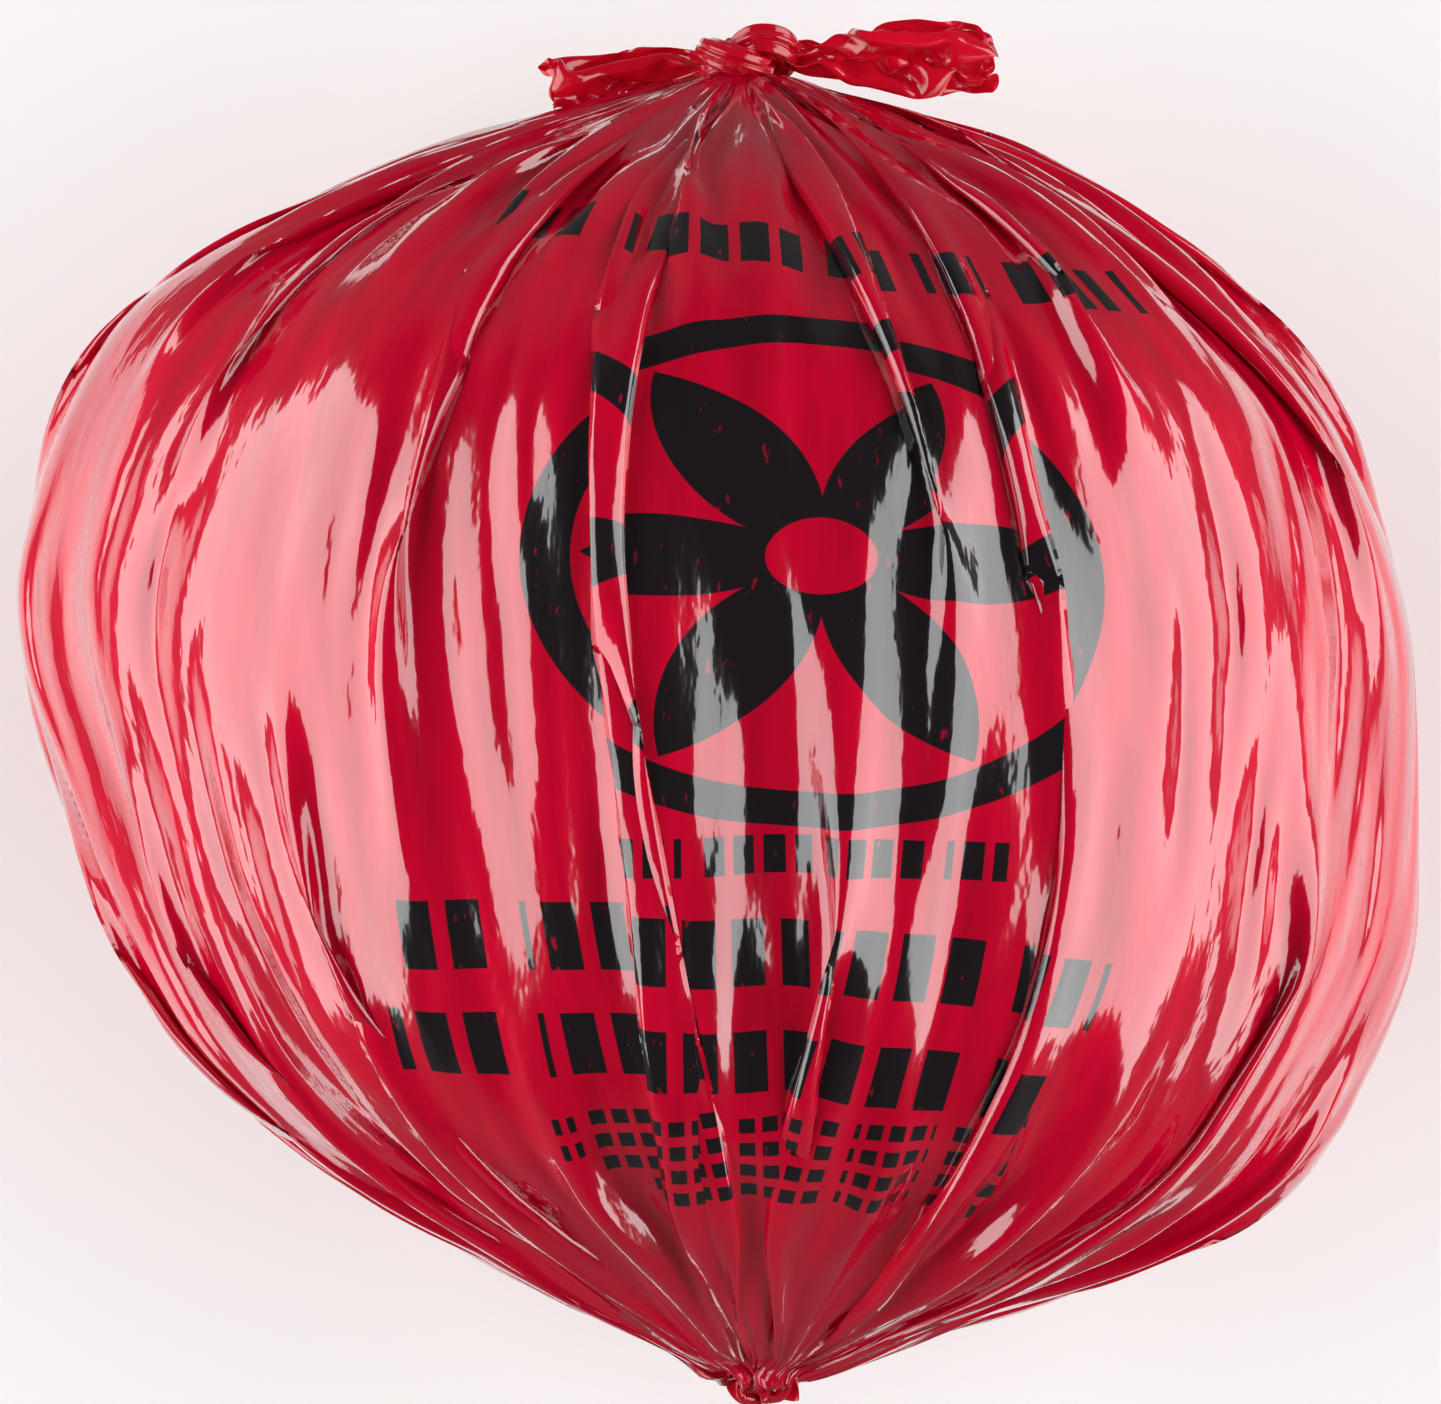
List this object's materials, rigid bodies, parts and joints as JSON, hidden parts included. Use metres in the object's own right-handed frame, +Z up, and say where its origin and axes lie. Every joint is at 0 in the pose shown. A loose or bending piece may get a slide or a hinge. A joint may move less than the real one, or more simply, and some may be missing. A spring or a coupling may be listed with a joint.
{
  "type": "biohazard waste bag",
  "caption": "Filled and tied waste bag of thin glossy red film, lying on its back, pleated into a star seal at one end and a hand-tied knot at the other.",
  "frame": {"origin": "on the floor, under the middle of the bag's bounding box", "axes": "+X across the bag, to the right with the printed face up and the knot away; +Y from the bottom seal towards the knot; +Z up from the floor, out of the printed face"},
  "size_m": [0.4298, 0.423, 0.335],
  "materials": {
    "red_film": "glossy thin polyethylene film"
  },
  "bodies": {
    "root": {"bag": "red_film"}
  },
  "joints": []
}
